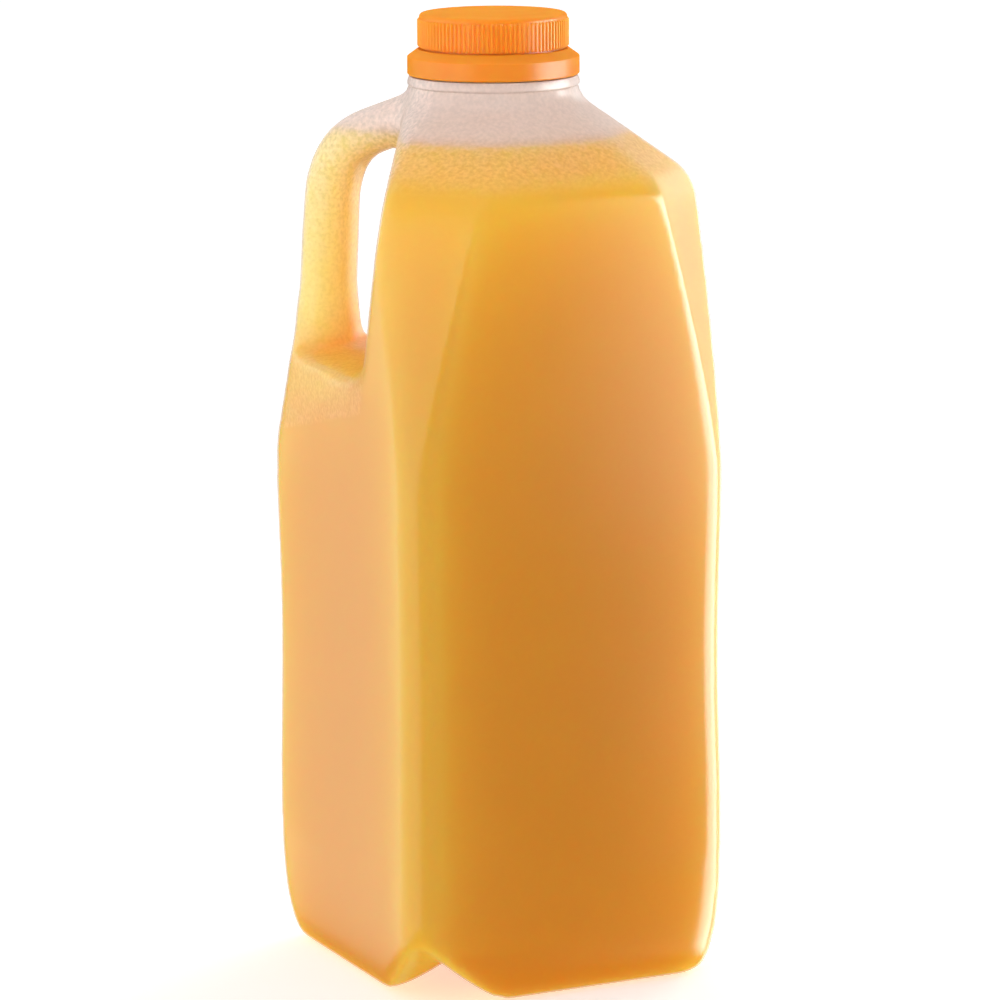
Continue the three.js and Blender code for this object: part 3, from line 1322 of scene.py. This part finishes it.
@dataclass
class Studio:
    """Floor, light and camera. Metres; the air's spans are parts of a unit direction."""

    floor_size: float = 40.0
    floor_colour: str = "#F7F7F7"
    floor_lift: float = 0.5
    air_colour: str = "#FFFFFF"
    air_bright: float = 0.99
    zenith_share: float = 0.6
    zenith_from: float = 0.45
    air_dim: float = 0.04
    air_below: float = 0.4
    air_under: float = 0.1
    under: Span = (-0.6, -0.25)
    dim_way: tuple[float, float, float] = (0.707, -0.707, 0.0)
    dim: Span = (0.1, 0.95)

    azimuth_deg: float = 19.60
    look_azimuth_deg: float = 19.555
    pitch_deg: float = 11.268
    roll_deg: float = 0.372
    distance: float = 1.3228
    eye_height: float = 0.3938
    focal_px: float = 4864.1
    image_px: float = 1000.0
    sensor_mm: float = 36.0

    # Name, role, azimuth, distance, height of its middle, width, height, radiance, tilt, spread.
    softboxes: tuple[Softbox, ...] = (
        Softbox("strip_right", Role.SHINE, 20.0, 0.60, 0.02, 0.54, 0.85, 12.0),
        Softbox("strip_right_edge", Role.SHINE, -10.5, 0.60, 0.02, 0.11, 0.85, 4.5),
        Softbox("panel_right", Role.SHINE, 65.0, 0.60, 0.02, 0.45, 0.85, 1.6),
        Softbox("panel_left", Role.SHINE, 208.5, 0.60, 0.02, 1.51, 0.85, 1.3),
        Softbox("fill_right", Role.FILL, 75.0, 0.60, 0.10, 0.60, 0.25, 1.35, 4.0, 50.0),
        Softbox("fill_top", Role.FILL, -65.0, 0.45, 0.62, 0.20, 0.20, 0.60, 35.5, 18.0),
        Softbox("fill_back", Role.FILL, 110.0, 0.60, 0.32, 0.40, 0.15, 0.4, 6.0, 40.0),
    )

    def build(self) -> None:
        """Sets the studio up."""
        self.lay_floor()
        self.light()
        self.place_camera()

    def lay_floor(self) -> None:
        """Lays a plain pale floor."""
        select_nothing()
        bpy.ops.mesh.primitive_plane_add(size=self.floor_size)
        floor = bpy.context.object
        floor.name = "floor"
        material, tree = new_material("studio_floor_matt_white")
        paint = add_node(
            tree,
            "ShaderNodeBsdfPrincipled",
            inputs={
                "Base Color": linear(self.floor_colour),
                "Roughness": 1.0,
                "Specular IOR Level": 0.0,
                "Emission Color": linear(self.floor_colour),
                "Emission Strength": self.floor_lift,
            },
        )
        add_node(tree, "ShaderNodeOutputMaterial", inputs={"Surface": paint.outputs[0]})
        floor.data.materials.append(material)
        floor.visible_glossy = False

    def light(self) -> None:
        """Fills the air with light that is dim before the front panel, and hangs the softboxes."""
        world = bpy.data.worlds.new("studio_air")
        world.use_nodes = True
        world.node_tree.nodes.clear()
        tree = world.node_tree
        air = add_node(
            tree,
            "ShaderNodeBackground",
            inputs={"Color": linear(self.air_colour), "Strength": self.air_strength(tree)},
        )
        add_node(tree, "ShaderNodeOutputWorld", inputs={"Surface": air.outputs[0]})
        bpy.context.scene.world = world
        for softbox in self.softboxes:
            softbox.build()
        bpy.context.scene.view_settings.view_transform = "Standard"

    def air_strength(self, tree: Tree) -> Socket:
        """Shades the air: dim before the front panel, less bright overhead and below.

        Args:
            tree: the world's tree.

        Returns:
            How bright the air is each way.
        """
        way = add_node(tree, "ShaderNodeTexCoord").outputs["Generated"]
        front = add_node(
            tree, "ShaderNodeVectorMath", {"operation": "DOT_PRODUCT"}, {0: way, 1: self.dim_way}
        ).outputs["Value"]
        height = add_node(tree, "ShaderNodeSeparateXYZ", inputs={0: way}).outputs["Z"]
        around = ramp(tree, front, self.dim, (self.air_bright, self.air_dim), smooth=True)
        overhead = ramp(
            tree, height, (self.zenith_from, 1.0), (1.0, self.zenith_share), smooth=True
        )
        below = ramp(tree, height, self.under, (self.air_under, self.air_below))
        above = reckon(tree, "MULTIPLY", around, overhead)
        return blend(tree, reckon(tree, "GREATER_THAN", height, 0.0), below, above)

    def place_camera(self) -> None:
        """Puts the camera where the bottle is seen as pictured."""
        data = bpy.data.cameras.new("camera")
        data.sensor_width = self.sensor_mm
        data.lens = self.focal_px / self.image_px * self.sensor_mm
        camera = bpy.data.objects.new("camera", data)
        azimuth = math.radians(self.azimuth_deg)
        place = Vector((math.sin(azimuth), -math.cos(azimuth), 0)) * self.distance
        place.z = self.eye_height
        look = math.radians(self.look_azimuth_deg)
        pitch = math.radians(self.pitch_deg)
        turn = (
            Matrix.Rotation(look, 4, "Z")
            @ Matrix.Rotation(QUARTER - pitch, 4, "X")
            @ Matrix.Rotation(-math.radians(self.roll_deg), 4, "Z")
        )
        camera.matrix_world = Matrix.Translation(place) @ turn
        bpy.context.scene.collection.objects.link(camera)
        bpy.context.scene.camera = camera


def main() -> None:
    """Builds the bottle, its juice, its cap and the studio round them."""
    logging.basicConfig(level=logging.INFO, format="%(name)s: %(message)s")
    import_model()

    jug = Jug()
    block = jug.block()
    juice = jug.juice(block)
    bottle = jug.shell(block)
    cap = ScrewCap().build()
    dress(juice, "juice", OrangeJuice().material())
    dress(bottle, "bottle", NaturalPolyethylene().material())
    dress(cap, "cap", CapPolypropylene().material())

    Studio().build()


if __name__ == "__main__":
    main()
